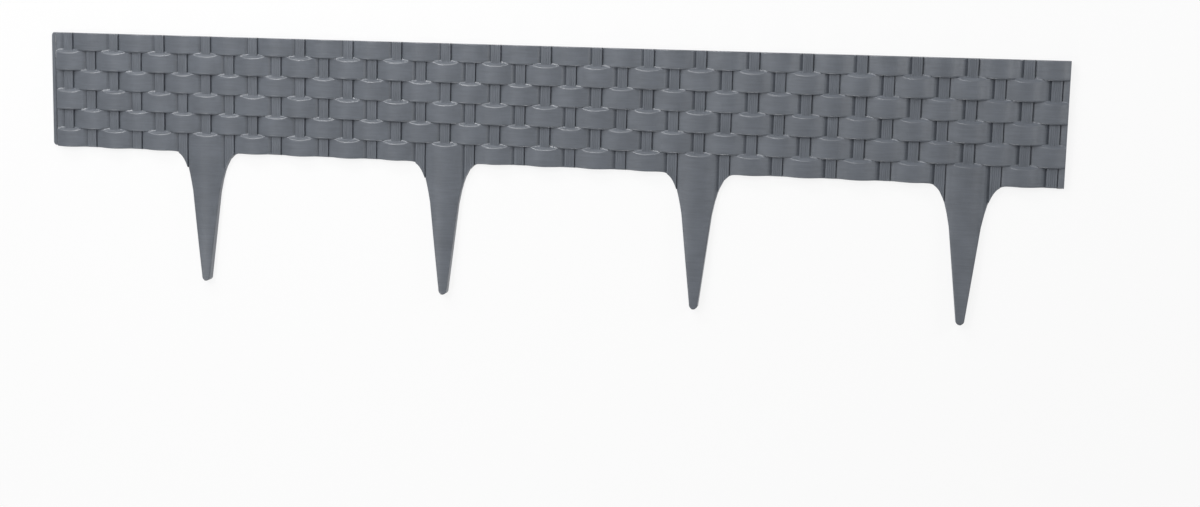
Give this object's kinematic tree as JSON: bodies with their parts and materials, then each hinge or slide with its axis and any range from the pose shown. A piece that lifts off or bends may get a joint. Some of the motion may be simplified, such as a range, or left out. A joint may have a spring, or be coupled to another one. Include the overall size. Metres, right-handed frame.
{
  "type": "lawn edging panel",
  "caption": "Grey plastic lawn edging strip with a basket-weave face, tapered ground spikes along its lower edge and a hook bead at its left end.",
  "frame": {"origin": "bottom centre of the bounding box, on the plane of the back, with the strip lying on its back", "axes": "+X along the strip from the hook end to the plain end, +Y towards the edge that stands uppermost in use and away from the spikes, +Z out of the woven face"},
  "size_m": [0.7836, 0.1928, 0.0064],
  "materials": {
    "edging_plastic": "fine satin, as moulded"
  },
  "bodies": {
    "root": {"edging_panel": "edging_plastic"}
  },
  "joints": []
}
